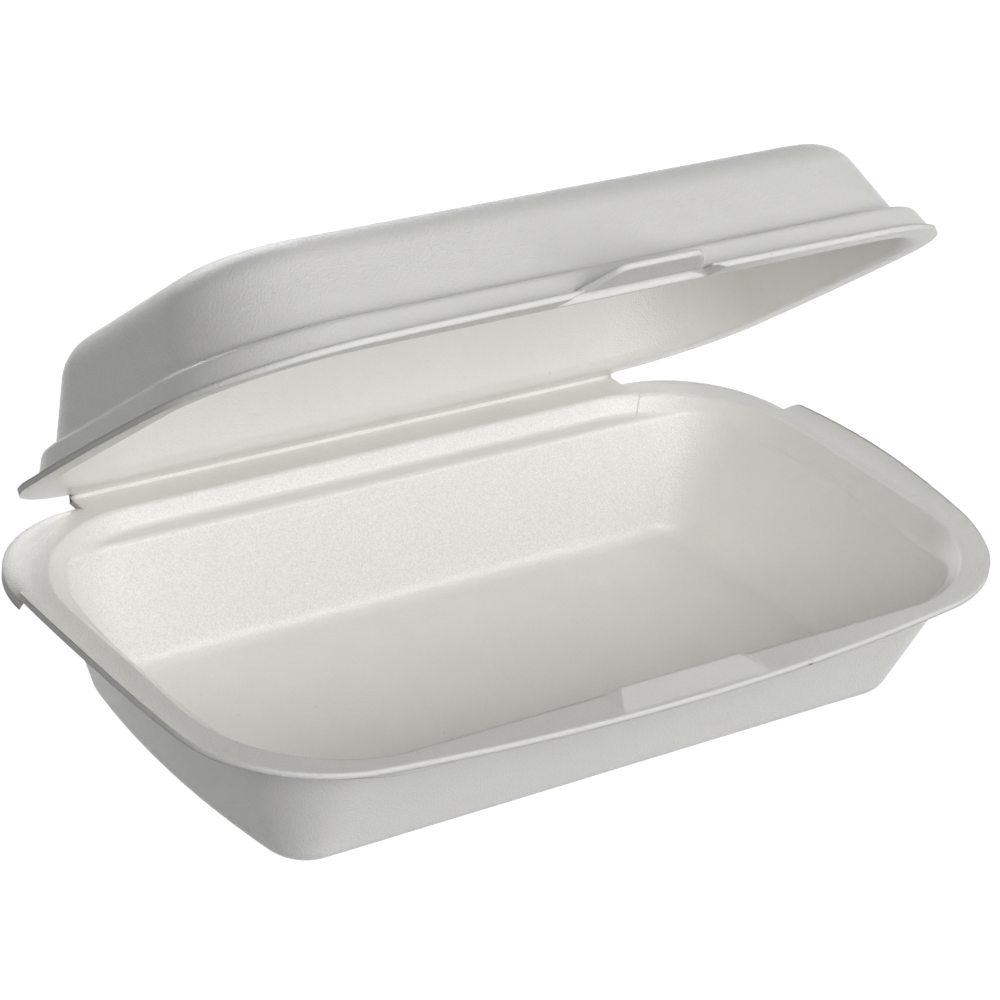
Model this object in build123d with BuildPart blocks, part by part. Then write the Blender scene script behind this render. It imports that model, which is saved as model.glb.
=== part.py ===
"""Hinged foam lunch box: a moulded tray and its lid, joined along one pressed crease at the back.

Millimetres, +Z up, the front towards -Y. The origin is the middle of the tray's flat underside.
"""
import os
from math import radians, sin

from build123d import *

# Foam sheet
wall = 2.2  # thickness of floors and walls
wall_run = 2.4  # the same thickness measured level across a leaning wall
brim = 1.5  # pressed edge of both flanges

# Tray below the rim, outside faces
floor_half_x = 94.2
floor_front = -47.0
floor_back = 46.6
floor_corner = 10.0
floor_round = 6.5
ledge_z = 33.6  # top of the ledge inside the front and back walls
ledge_half_x = 107.8
ledge_front = -61.0
ledge_back = 55.0
ledge_corner = 23.0
side_bow = 8.8  # degrees that the side walls turn in plan between the middle and each corner
upper_half_x = 107.6  # short upper wall above the ledge
upper_front = -66.0
upper_back = 60.0
upper_corner = 38.0
upper_lean = 0.42
side_lean = 1.1  # the sides flare out to the lips
ledge_round = 1.5

# Tray rim
rim_z = 38.6
rim_half_x = 119.9
rim_front = -75.9
rim_side_mid = 3.0
rim_side_radius = 330.0
rim_front_radius = 560.0
rim_corner = 40.0
lip_start = 113.5  # the side lips curve up from here
lip_rise = 2.25
lip_end_y = 33.2
lip_end_round = 3.0
roll_x = 83.5  # centre of each rolled back corner
roll_radius = 34.0
roll_start = 29.5
roll_drop = 1.8
shoulder_round = 1.0

# Catch: a low wedge on the front rim, highest along the inner edge
catch_half = 17.0
catch_ramp = 4.5
catch_rise = 1.9
catch_start = -74.6

# Crease
hinge_half = 83.5
hinge_y = 70.0
parting = 0.3  # gap between the two flanges when shut
open_angle = 38.8

# Lid, heights above the crease line
lid_half_x = 111.8
lid_front = -71.2
lid_side_radius = 400.0
lid_front_radius = 1080.0
lid_corner = 41.0
lid_back_x = 76.8
lid_back_radius = 34.0
step_half_x = 109.2
step_front = -67.2
step_back = 62.8
step_corner = 37.0
step_height = 7.9
step_lean = 0.45
step_round = 2.2
valley_round = 1.6  # between the step and the dome
mouth_round = 4.5  # inside, where the wall meets the flange
dome_half_x = 102.8
dome_front = -58.9
dome_back = 55.6
dome_corner = 31.0
top_half_x = 95.4
top_front = -49.0
top_back = 45.0
top_corner = 24.0
top_height = 30.8
top_round = 12.0

# Tab on the lid's front edge: it rises forward from a ridge, with a groove behind it for the catch
tab_base = 17.5
tab_tip = 11.5
tab_front = -77.8
tab_ridge = -70.0
tab_rise = 1.8
tab_edge = 1.4
tab_round = 4.5
latch_gap = 0.35
relief = 0.7
relief_round = 0.4

hinge_z = rim_z + parting / 2
brim_z = rim_z - brim
above = rim_z + 6  # safely over the raised lips
groove_z = rim_z + catch_rise + latch_gap
ridge_z = rim_z + latch_gap + catch_rise * (tab_ridge - catch_start) / (upper_front - catch_start)


def rounded_box(half_x, front, back, corner):
    """Rounded rectangle lying evenly across the Y axis, drawn in the current sketch."""
    with Locations((0, (front + back) / 2)):
        RectangleRounded(2 * half_x, back - front, corner)


def lower_wall(z, inset):
    """Section through the tray's lower wall at one height: straight front and back, bowed sides."""
    t = z / ledge_z
    half_x = floor_half_x + (ledge_half_x - floor_half_x) * t - inset
    front = floor_front + (ledge_front - floor_front) * t + inset
    back = floor_back + (ledge_back - floor_back) * t - inset
    corner = floor_corner + (ledge_corner - floor_corner) * t - inset
    bow_radius = corner + ((back - front) / 2 - corner) / sin(radians(side_bow))
    for side, mode in ((1, Mode.ADD), (-1, Mode.INTERSECT)):
        with Locations((side * (half_x - bow_radius), (front + back) / 2)):
            Circle(bow_radius, mode=mode)
    with Locations((0, (front + back) / 2)):
        Rectangle(3 * half_x, back - front, mode=Mode.INTERSECT)
    fillet(vertices(), corner)


def upper_wall(z, inset):
    """Section through the tray's short upper wall at one height."""
    run = (z - ledge_z) * upper_lean - inset
    side = upper_half_x + (z - ledge_z) * side_lean - inset
    rounded_box(side, upper_front - run, upper_back + run, upper_corner + run)


def step_wall(height):
    """Section through the outside of the lid's step at a height above the crease."""
    run = height * step_lean
    rounded_box(step_half_x - run, step_front + run, step_back - run, step_corner - run)


def dome_wall(height, inset):
    """Section through the lid's dome at a height above the crease."""
    t = (height - step_height) / (top_height - step_height)
    rounded_box(
        dome_half_x + (top_half_x - dome_half_x) * t - inset,
        dome_front + (top_front - dome_front) * t + inset,
        dome_back + (top_back - dome_back) * t - inset,
        dome_corner + (top_corner - dome_corner) * t - inset,
    )


def bowed_rim(half_x, front, side_radius, front_radius, corner, back):
    """Plan of a flange: bowed front and sides, round front corners, cut straight at the back."""
    with Locations((half_x - side_radius, rim_side_mid)):
        Circle(side_radius)
    with Locations((side_radius - half_x, rim_side_mid)):
        Circle(side_radius, mode=Mode.INTERSECT)
    with Locations((0, front + front_radius)):
        Circle(front_radius, mode=Mode.INTERSECT)
    with Locations((0, back)):
        Rectangle(3 * half_x, 3 * half_x, align=(Align.CENTER, Align.MAX), mode=Mode.INTERSECT)
    fillet(vertices().group_by(Axis.Y)[0], corner)


def bent_sheet(bottom):
    """Level sheet of brim thickness whose two side margins curve up, as long as the box is deep."""
    reach = rim_half_x + 2
    radius = ((rim_half_x - lip_start) ** 2 + lip_rise**2) / (2 * lip_rise)
    with BuildPart(mode=Mode.PRIVATE) as sheet:
        with BuildSketch(Plane.XZ):
            for side in (-1, 1):
                with Locations((side * lip_start, bottom + radius)):
                    Circle(radius)
                    Circle(radius - brim, mode=Mode.SUBTRACT)
            with Locations((0, bottom)):
                Rectangle(2 * reach, radius, align=(Align.CENTER, Align.MIN), mode=Mode.INTERSECT)
                Rectangle(2 * lip_start, radius, align=(Align.CENTER, Align.MIN), mode=Mode.SUBTRACT)
                Rectangle(2 * lip_start, brim, align=(Align.CENTER, Align.MIN))
        extrude(amount=100, both=True)
    return sheet.part


def latch_wedge(gap):
    """Wedge across the front rim, its sloping top and ends raised by a gap."""
    inside = upper_front + wall_run
    half, top = catch_half + catch_ramp, rim_z + catch_rise + gap
    with BuildPart(mode=Mode.PRIVATE) as wedge:
        with BuildSketch(Plane.YZ):
            with BuildLine():
                Polyline(
                    (catch_start, brim_z),
                    (catch_start, rim_z + gap),
                    (upper_front, top),
                    (inside, top),
                    (inside, brim_z),
                    close=True,
                )
            make_face()
        extrude(amount=half + gap, both=True)
        with BuildSketch(Plane.XZ):
            with BuildLine():
                Polyline(
                    (-half - gap, brim_z),
                    (-half - gap, rim_z + gap),
                    (-catch_half - gap, top),
                    (catch_half + gap, top),
                    (half + gap, rim_z + gap),
                    (half + gap, brim_z),
                    close=True,
                )
            make_face()
        extrude(amount=100, both=True, mode=Mode.INTERSECT)
    return wedge.part


# Tray: outside of the walls
with BuildPart() as tray_outside:
    for z in (0, brim_z):
        with BuildSketch(Plane.XY.offset(z)):
            lower_wall(z, 0)
    loft(ruled=True)
    fillet(edges().group_by(Axis.Z)[0], floor_round)
with BuildPart() as tray_collar:
    for z in (ledge_z - wall, brim_z):
        with BuildSketch(Plane.XY.offset(z)):
            upper_wall(z, 0)
    loft(ruled=True)
    fillet(edges().group_by(Axis.Z)[0], ledge_round)

# Tray: hollow, with a ledge where the upper wall stands back from the lower one
with BuildPart() as tray_hollow:
    for z in (wall, above):
        with BuildSketch(Plane.XY.offset(z)):
            lower_wall(z, wall_run)
    loft(ruled=True)
    fillet(edges().group_by(Axis.Z)[0], floor_round - wall)
with BuildPart() as tray_mouth:
    for z in (ledge_z, above):
        with BuildSketch(Plane.XY.offset(z)):
            upper_wall(z, wall_run)
    loft(ruled=True)
    fillet(edges().group_by(Axis.Z)[0], ledge_round)

# Tray: rim with raised side lips in front, hinge strip and rolled corners behind
with BuildPart() as tray_rim:
    with BuildSketch(Plane.XY.offset(brim_z - 2)):
        bowed_rim(rim_half_x, rim_front, rim_side_radius, rim_front_radius, rim_corner, lip_end_y)
        fillet(vertices().group_by(Axis.Y)[-1], lip_end_round)
    extrude(amount=above - brim_z + 2)
    add(bent_sheet(brim_z), mode=Mode.INTERSECT)
    with BuildSketch(Plane.XY.offset(brim_z)):
        with Locations((0, hinge_y)):
            Rectangle(2 * hinge_half, hinge_y - lip_end_y, align=(Align.CENTER, Align.MAX))
    extrude(amount=brim)
with BuildPart() as roll:
    drop_radius = ((roll_radius - roll_start) ** 2 + roll_drop**2) / (2 * roll_drop)
    with BuildSketch(Plane.XZ):
        with Locations((roll_start, rim_z - drop_radius)):
            Circle(drop_radius)
            Circle(drop_radius - brim, mode=Mode.SUBTRACT)
        with Locations((roll_start, rim_z)):
            Rectangle(roll_radius - roll_start, 8, align=(Align.MIN, Align.MAX), mode=Mode.INTERSECT)
            Rectangle(roll_start, brim, align=(Align.MAX, Align.MAX))
    revolve(axis=Axis.Z, revolution_arc=90)

with BuildPart() as tray_inside:
    add(tray_hollow.part)
    add(tray_mouth.part)
    fillet(edges(Select.NEW).filter_by_position(Axis.Z, ledge_z - 0.1, ledge_z + 0.1), ledge_round)

with BuildPart() as tray:
    add(tray_outside.part)
    add(tray_collar.part)
    add(tray_rim.part)
    add(latch_wedge(0))
    for side in (1, -1):
        corner_piece = roll.part if side == 1 else mirror(roll.part, about=Plane.YZ, mode=Mode.PRIVATE)
        add(corner_piece.moved(Location((side * roll_x, lip_end_y, 0))))
    add(tray_inside.part, mode=Mode.SUBTRACT)
    fillet(edges(Select.NEW).filter_by_position(Axis.Z, rim_z - 0.5, above), shoulder_round)

# Lid, modelled shut and then turned open about the crease
with BuildPart() as lid_step:
    for height in (parting / 2, step_height):
        with BuildSketch(Plane.XY.offset(hinge_z + height)):
            step_wall(height)
    loft(ruled=True)
    fillet(edges().group_by(Axis.Z)[-1], step_round)
with BuildPart() as lid_dome:
    for height in (step_height - wall, top_height):
        with BuildSketch(Plane.XY.offset(hinge_z + height)):
            dome_wall(height, 0)
    loft(ruled=True)
    fillet(edges().group_by(Axis.Z)[-1], top_round)
with BuildPart() as lid_hollow:
    for height in (-1, top_height - wall):
        with BuildSketch(Plane.XY.offset(hinge_z + height)):
            dome_wall(height, wall_run)
    loft(ruled=True)
    fillet(edges().group_by(Axis.Z)[-1], top_round - wall)

with BuildPart() as tab:
    root = step_front + wall_run - 1
    with BuildSketch(Plane.YZ):
        with BuildLine():
            Polyline(
                (root, groove_z),
                (upper_front, groove_z),
                (tab_ridge, ridge_z),
                (tab_front, ridge_z + tab_rise),
                (tab_front, ridge_z + tab_rise + tab_edge),
                (step_front, ridge_z + brim),
                (root, ridge_z + brim),
                close=True,
            )
        make_face()
    extrude(amount=tab_base, both=True)
    with BuildSketch(Plane.XY.offset(rim_z)):
        with BuildLine():
            Polyline(
                (-tab_base, root),
                (-tab_base, step_front),
                (-tab_tip, tab_front),
                (tab_tip, tab_front),
                (tab_base, step_front),
                (tab_base, root),
                close=True,
            )
        make_face()
        fillet(vertices().group_by(Axis.Y)[0], tab_round)
    extrude(amount=above - rim_z, mode=Mode.INTERSECT)

with BuildPart() as lid:
    with BuildSketch(Plane.XY.offset(hinge_z)):
        bowed_rim(lid_half_x, lid_front, lid_side_radius, lid_front_radius, lid_corner, lip_end_y)
        for side in (-1, 1):
            with Locations((side * lid_back_x, lip_end_y)):
                Circle(lid_back_radius)
        with Locations((0, hinge_y)):
            Rectangle(2 * hinge_half, hinge_y - lip_end_y, align=(Align.CENTER, Align.MAX))
        with Locations((0, step_front)):
            Rectangle(2 * (tab_base + relief), 20, align=(Align.CENTER, Align.MAX), mode=Mode.SUBTRACT)
        fillet(vertices().group_by(Axis.Y)[0], relief_round)
    extrude(amount=above - hinge_z)
    add(bent_sheet(hinge_z + parting / 2), mode=Mode.INTERSECT)
    add(lid_step.part)
    add(lid_dome.part)
    fillet(edges(Select.NEW).group_by(Axis.Z)[-1], valley_round)
    add(lid_hollow.part, mode=Mode.SUBTRACT)
    fillet(edges(Select.NEW).group_by(Axis.Z)[0], mouth_round)
    add(latch_wedge(latch_gap), mode=Mode.SUBTRACT)
    add(tab.part)

tray.part.label = "tray"
lid_open = lid.part.rotate(Axis((0, hinge_y, hinge_z), (1, 0, 0)), -open_angle)
lid_open.label = "lid"
os.makedirs("parts", exist_ok=True)
export_step(tray.part, "parts/tray.step")
export_step(lid_open, "parts/lid.step")
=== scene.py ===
"""Looks of the hinged foam lunch box: pressed-foam finish, crease web, white studio and camera."""
import math

import bpy
from mathutils import Matrix, Vector


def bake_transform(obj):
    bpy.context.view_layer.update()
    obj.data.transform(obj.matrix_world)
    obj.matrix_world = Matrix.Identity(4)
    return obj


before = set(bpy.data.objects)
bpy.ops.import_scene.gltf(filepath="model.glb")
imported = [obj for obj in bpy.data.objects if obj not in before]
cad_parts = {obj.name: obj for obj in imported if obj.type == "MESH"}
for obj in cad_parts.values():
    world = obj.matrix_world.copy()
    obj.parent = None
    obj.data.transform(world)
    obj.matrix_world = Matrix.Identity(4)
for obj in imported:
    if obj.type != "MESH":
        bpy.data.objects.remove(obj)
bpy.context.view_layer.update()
scene = bpy.context.scene
tray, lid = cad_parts["tray"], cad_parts["lid"]

# Places on the box, in metres, in the CAD frame
MM = 0.001
HINGE = Vector((0, 70.0, 38.75)) * MM
LEAN = math.radians(38.8)  # how far the lid stands open
RIM_Z = 38.6 * MM
CREASE_HALF = 83.5 * MM
NICK = Vector((33.5, -75.6, 37.9)) * MM  # small burr on the front edge
CRACK = Vector((82.5, 55.5, 37.5)) * MM  # hairline in the back right shoulder
CRACK_SIDE = Vector((0.72, -0.69, 0))  # square to the hairline

# Foam skin: how many of each to the metre
FOAM_CELLS = 2100.0
FINE_GRAIN = 3400.0
CLOUDING = 34.0
SWELLING = 85.0
SPECKS = 80.0

# Foam skin: relief
SWELL_DEPTH = 0.2 * MM
CELL_DEPTH = 0.08 * MM
MARK_DEPTH = 0.3 * MM
EDGE_SOFTNESS = 1.1 * MM

# Foam skin: sheen, and how strongly each trait shows
SATIN = 0.21
CLOUD_DULLING = 0.08
EDGE_DULLING = 0.30
POLYSTYRENE_IOR = 1.59
GLOSS_LEVEL = 0.6
GRAIN = 0.15
# the extra cell contrast on the tray's back wall is painted glints of sheen
BACK_WALL_PAINTED_GLINT = 0.75
EDGE_SHARE = 0.5
SPECK_SHARE = 0.22
CRACK_SHARE = 0.35

# Foam colours
FOAM_DEEP = (0.885, 0.878, 0.845, 1)
FOAM_PALE = (0.91, 0.904, 0.872, 1)
CELL_SHADE = (0.81, 0.803, 0.772, 1)
# pale cells: the foam's own tone everywhere, and painted glints on the tray's back wall
CELL_PALE_AND_PAINTED_GLINT = (0.985, 0.983, 0.968, 1)
TRIMMED_EDGE = (0.88, 0.876, 0.85, 1)
SPECK_BROWN = (0.52, 0.50, 0.46, 1)
# the burr's lighter colour is a painted highlight
BURR_PAINTED_HIGHLIGHT = (0.93, 0.93, 0.92, 1)
CRACK_GREY = (0.45, 0.44, 0.42, 1)
WHITE = (1, 1, 1, 1)

# Crease web
WEB_HALF = 0.42 * MM  # half its thickness
WEB_REACH = 1.1 * MM  # how far it runs into each flange
WEB_DROP = 0.62 * MM  # its ends below and above the crease line
WEB_BULGE = 0.55 * MM
WEB_STEPS = 10
WEB_COLUMNS = 60

# Studio: each lamp's name, place, size and watts
FLOOR_HALF = 6.0
FLOOR_DROP = 0.2 * MM
FLOOR_GREY = (0.22, 0.22, 0.22, 1)
FLOOR_GLOW = 0.97
LAMP_AIM = Vector((0, 0, 0.04))
LAMPS = (
    ("front_soft", (-0.45, -1.5, 0.9), (1.0, 0.8), 13.4),
    ("right_front", (0.9, -1.2, 1.0), (0.8, 0.8), 5.9),
    ("key_low_right", (0.95, -1.45, 0.4), (0.7, 0.5), 1.9),
    ("left_high", (-0.9, -0.9, 1.3), (0.9, 0.9), 3.4),
    ("front_low", (0.2, -1.7, 0.35), (0.8, 0.4), 3.2),
    ("back_fill", (0.4, 1.8, 0.5), (1.2, 0.8), 9.0),
)

# The photograph's viewpoint
EYE = Vector((-477.316, -595.048, 444.406)) * MM
VIEW_RIGHT = Vector((0.809172, -0.579824, 0.095101))
VIEW_UP = Vector((0.198813, 0.422492, 0.884293))
LENS, SENSOR = 127.184, 36.0  # millimetres
NEAR_CLIP = 0.01


class Tone:
    """A value in a node tree. Arithmetic on it adds Math nodes."""

    def __init__(self, finish, socket):
        self.finish, self.socket = finish, socket

    def _math(self, operation, a, b):
        return self.finish.node("ShaderNodeMath", {"operation": operation}, {0: a, 1: b})

    def __add__(self, other):
        return self._math("ADD", self, other)

    def __sub__(self, other):
        return self._math("SUBTRACT", self, other)

    def __rsub__(self, other):
        return self._math("SUBTRACT", other, self)

    def __mul__(self, other):
        return self._math("MULTIPLY", self, other)

    def __abs__(self):
        return self._math("ABSOLUTE", self, 0)

    __radd__, __rmul__ = __add__, __mul__

    def larger(self, other):
        return self._math("MAXIMUM", self, other)

    def ramp(self, low, high):
        """0 at low, 1 at high, eased between; low may be the larger."""
        return self.finish.node(
            "ShaderNodeMapRange", {"interpolation_type": "SMOOTHSTEP"},
            {"Value": self, "From Min": low, "From Max": high})


class Finish:
    """The node tree of one material or world, its nodes added by name."""

    def __init__(self, owner):
        owner.use_nodes = True
        self.nodes, self.links = owner.node_tree.nodes, owner.node_tree.links
        self.nodes.clear()

    def node(self, kind, settings=None, inputs=None, out=0):
        """Adds a node: its type, its settings, what goes into its sockets, which outputs it gives."""
        n = self.nodes.new(kind)
        for key, value in (settings or {}).items():
            setattr(n, key, value)
        for key, value in (inputs or {}).items():
            if isinstance(value, Tone):
                self.links.new(value.socket, n.inputs[key])
            else:
                n.inputs[key].default_value = value
        if isinstance(out, tuple):
            return [Tone(self, n.outputs[k]) for k in out]
        return Tone(self, n.outputs[out]) if n.outputs else n

    def noise(self, place, scale, detail=2.0, roughness=0.5):
        return self.node("ShaderNodeTexNoise", {}, {
            "Vector": place, "Scale": scale, "Detail": detail, "Roughness": roughness}, "Fac")

    def cells(self, place, scale):
        """Distance from the middle of the nearest cell."""
        return self.node(
            "ShaderNodeTexVoronoi", {"feature": "F1"}, {"Vector": place, "Scale": scale}, "Distance")

    def dot(self, a, b):
        return self.node("ShaderNodeVectorMath", {"operation": "DOT_PRODUCT"}, {0: a, 1: b}, "Value")

    def near(self, place, spot):
        """Distance from a spot, in metres."""
        return self.node("ShaderNodeVectorMath", {"operation": "DISTANCE"}, {0: place, 1: spot}, "Value")

    def mix(self, share, a, b):
        """Colour a where share is 0, b where it is 1."""
        return self.node("ShaderNodeMix", {"data_type": "RGBA"}, {0: share, 6: a, 7: b}, 2)

    def bump(self, height, distance, normal):
        return self.node("ShaderNodeBump", {}, {
            "Height": height, "Distance": distance, "Strength": 1.0, "Normal": normal})

    def backdrop_rays(self):
        """1 for the rays that show the backdrop: from the camera, a mirror or glass."""
        seen, mirrored, through = self.node(
            "ShaderNodeLightPath", {}, {}, ("Is Camera Ray", "Is Glossy Ray", "Is Transmission Ray"))
        return seen.larger(mirrored.larger(through))


def pressed_foam(name, turned=False, marked=False):
    """Skin of pressed foam: fine closed cells, satin sheen, duller trimmed edges, a few specks; painted
    glints in the cells on the inside of the tray's back wall, and where marked, a burr painted lighter
    as a highlight.
    """
    material = bpy.data.materials.new(name)
    f = Finish(material)
    place = f.node("ShaderNodeTexCoord", {}, {}, "Object")
    facing = f.node("ShaderNodeTexCoord", {}, {}, "Normal")
    up = Vector((0, math.sin(LEAN), math.cos(LEAN))) if turned else Vector((0, 0, 1))
    base = HINGE if turned else Vector((0, 0, RIM_Z))
    height = f.dot(place, up) - up.dot(base)
    # the trimmed edge of the flange, standing square to the sheet
    edge = abs(f.dot(facing, up)).ramp(0.32, 0.12) * abs(height).ramp(6 * MM, 4.5 * MM)

    cells = f.cells(place, FOAM_CELLS)
    fine = f.noise(place, FINE_GRAIN, 1.0)
    cloud = f.noise(place, CLOUDING, 3.0, 0.6)
    swell = f.noise(place, SWELLING, 2.0)
    speck = f.cells(place, SPECKS).ramp(0.045, 0.02)

    grain_and_glint = GRAIN
    if not turned:
        # the cells' colour contrast is stronger on the inside of the tray's back wall where it faces
        # front: painted glints of sheen
        to_front = f.dot(facing, Vector((0, -1, 0))).ramp(0.4, 0.9)
        at_back = f.dot(place, Vector((0, 1, 0))).ramp(20 * MM, 40 * MM)
        grain_and_glint = GRAIN + BACK_WALL_PAINTED_GLINT * (to_front * at_back)
    colour = f.mix(cloud.ramp(0.3, 0.72), FOAM_DEEP, FOAM_PALE)
    # dark and pale cells, which on the tray's back wall serve as painted glints
    colour = f.mix(cells.ramp(0.3, 0.7) * grain_and_glint, colour, CELL_SHADE)
    colour = f.mix(fine.ramp(0.5, 0.7) * grain_and_glint, colour, CELL_PALE_AND_PAINTED_GLINT)
    colour = f.mix(edge * EDGE_SHARE, colour, TRIMMED_EDGE)
    colour = f.mix(speck * SPECK_SHARE, colour, SPECK_BROWN)
    roughness = SATIN + CLOUD_DULLING * cloud + EDGE_DULLING * edge

    soft = f.node("ShaderNodeBevel", {"samples": 6}, {"Radius": EDGE_SOFTNESS})
    normal = f.bump(swell, SWELL_DEPTH, soft)
    if marked:
        burr = f.near(place, NICK).ramp(1.2 * MM, 0.3 * MM)
        across = abs(f.dot(place, CRACK_SIDE) - CRACK_SIDE.dot(CRACK))
        crack = across.ramp(0.22 * MM, 0.06 * MM) * f.near(place, CRACK).ramp(4.6 * MM, 3 * MM)
        # the burr is painted lighter as a highlight and is also raised by the bump below
        colour = f.mix(burr, colour, BURR_PAINTED_HIGHLIGHT)
        colour = f.mix(crack * CRACK_SHARE, colour, CRACK_GREY)
        normal = f.bump(burr * 2 - crack * 0.4, MARK_DEPTH, normal)
    normal = f.bump(cells + 0.4 * fine, CELL_DEPTH, normal)
    skin = f.node("ShaderNodeBsdfPrincipled", {}, {
        "Base Color": colour, "Roughness": roughness, "Normal": normal,
        "IOR": POLYSTYRENE_IOR, "Specular IOR Level": GLOSS_LEVEL})
    f.node("ShaderNodeOutputMaterial", {}, {"Surface": skin})
    return material


def dress(obj, material):
    for slot in obj.material_slots:
        slot.material = material


def crease_web():
    """The thin web of foam left in the pressed crease, from the tray's back edge round to the lid's."""
    turn, half_turn = Matrix.Rotation(-LEAN, 3, "X"), Matrix.Rotation(-LEAN / 2, 3, "X")
    start = HINGE + Vector((0, -WEB_REACH, -WEB_DROP))
    end = HINGE + turn @ Vector((0, -WEB_REACH, WEB_DROP))
    bend = HINGE + half_turn @ Vector((0, WEB_BULGE, 0))
    line = []
    for i in range(WEB_STEPS + 1):
        t = i / WEB_STEPS
        line.append(start * (1 - t) ** 2 + bend * 2 * t * (1 - t) + end * t ** 2)
    section = []
    for i, point in enumerate(line):
        along = (line[min(i + 1, WEB_STEPS)] - line[max(i - 1, 0)]).normalized()
        out = Vector((0, along.z, -along.y))
        section += [point + out * WEB_HALF, point - out * WEB_HALF]

    n = len(section)
    loop = list(range(0, n, 2)) + list(range(n - 1, 0, -2))
    verts, faces = [], []
    for c in range(WEB_COLUMNS + 1):
        x = CREASE_HALF * (2 * c / WEB_COLUMNS - 1)
        verts += [Vector((x, p.y, p.z)) for p in section]
    for c in range(WEB_COLUMNS):
        for k in range(n):
            a, b = loop[k], loop[(k + 1) % n]
            faces.append((c * n + a, c * n + b, (c + 1) * n + b, (c + 1) * n + a))
    faces.append(loop[::-1])
    faces.append([WEB_COLUMNS * n + k for k in loop])

    mesh = bpy.data.meshes.new("crease_web")
    mesh.from_pydata(verts, [], faces)
    mesh.polygons.foreach_set("use_smooth", [True] * len(mesh.polygons))
    mesh.update()
    mesh.materials.append(pressed_foam("crease_foam"))
    web = bpy.data.objects.new("crease_web", mesh)
    scene.collection.objects.link(web)
    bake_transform(web)


def white_floor():
    """A pale floor that shows white to the camera and keeps a faint contact shadow."""
    mesh = bpy.data.meshes.new("floor")
    r = FLOOR_HALF
    mesh.from_pydata([(-r, -r, 0), (r, -r, 0), (r, r, 0), (-r, r, 0)], [], [(0, 1, 2, 3)])
    floor = bpy.data.objects.new("floor", mesh)
    floor.location.z = -FLOOR_DROP
    scene.collection.objects.link(floor)
    material = bpy.data.materials.new("floor_white")
    f = Finish(material)
    matt = f.node("ShaderNodeBsdfDiffuse", {}, {"Color": FLOOR_GREY})
    glow = f.node("ShaderNodeEmission", {}, {"Color": WHITE, "Strength": FLOOR_GLOW})
    lit = f.node("ShaderNodeAddShader", {}, {0: matt, 1: glow})
    f.node("ShaderNodeOutputMaterial", {}, {
        "Surface": f.node("ShaderNodeMixShader", {}, {0: f.backdrop_rays(), 1: matt, 2: lit})})
    mesh.materials.append(material)


def lamp(name, place, size, watts):
    light = bpy.data.lights.new(name, "AREA")
    light.shape, light.size, light.size_y = "RECTANGLE", size[0], size[1]
    light.energy = watts
    obj = bpy.data.objects.new(name, light)
    obj.location = place
    obj.rotation_euler = (LAMP_AIM - Vector(place)).to_track_quat("-Z", "Y").to_euler()
    scene.collection.objects.link(obj)


def white_air():
    """A world that shows white behind the box and gives it no light of its own."""
    world = bpy.data.worlds.new("studio")
    scene.world = world
    air = Finish(world)
    dark = air.node("ShaderNodeBackground", {}, {"Color": WHITE, "Strength": 0.0})
    white = air.node("ShaderNodeBackground", {}, {"Color": WHITE, "Strength": 1.0})
    air.node("ShaderNodeOutputWorld", {}, {
        "Surface": air.node("ShaderNodeMixShader", {}, {0: air.backdrop_rays(), 1: dark, 2: white})})


def photo_camera():
    camera = bpy.data.cameras.new("camera")
    camera.lens, camera.sensor_width, camera.clip_start = LENS, SENSOR, NEAR_CLIP
    eye = bpy.data.objects.new("camera", camera)
    turn = Matrix((VIEW_RIGHT, VIEW_UP, VIEW_RIGHT.cross(VIEW_UP))).transposed().to_4x4()
    eye.matrix_world = Matrix.Translation(EYE) @ turn
    scene.collection.objects.link(eye)
    scene.camera = eye


dress(tray, pressed_foam("tray_foam", marked=True))
dress(lid, pressed_foam("lid_foam", turned=True))
crease_web()
white_floor()
for name, place, size, watts in LAMPS:
    lamp(name, place, size, watts)
white_air()
photo_camera()
scene.view_settings.view_transform = "Standard"
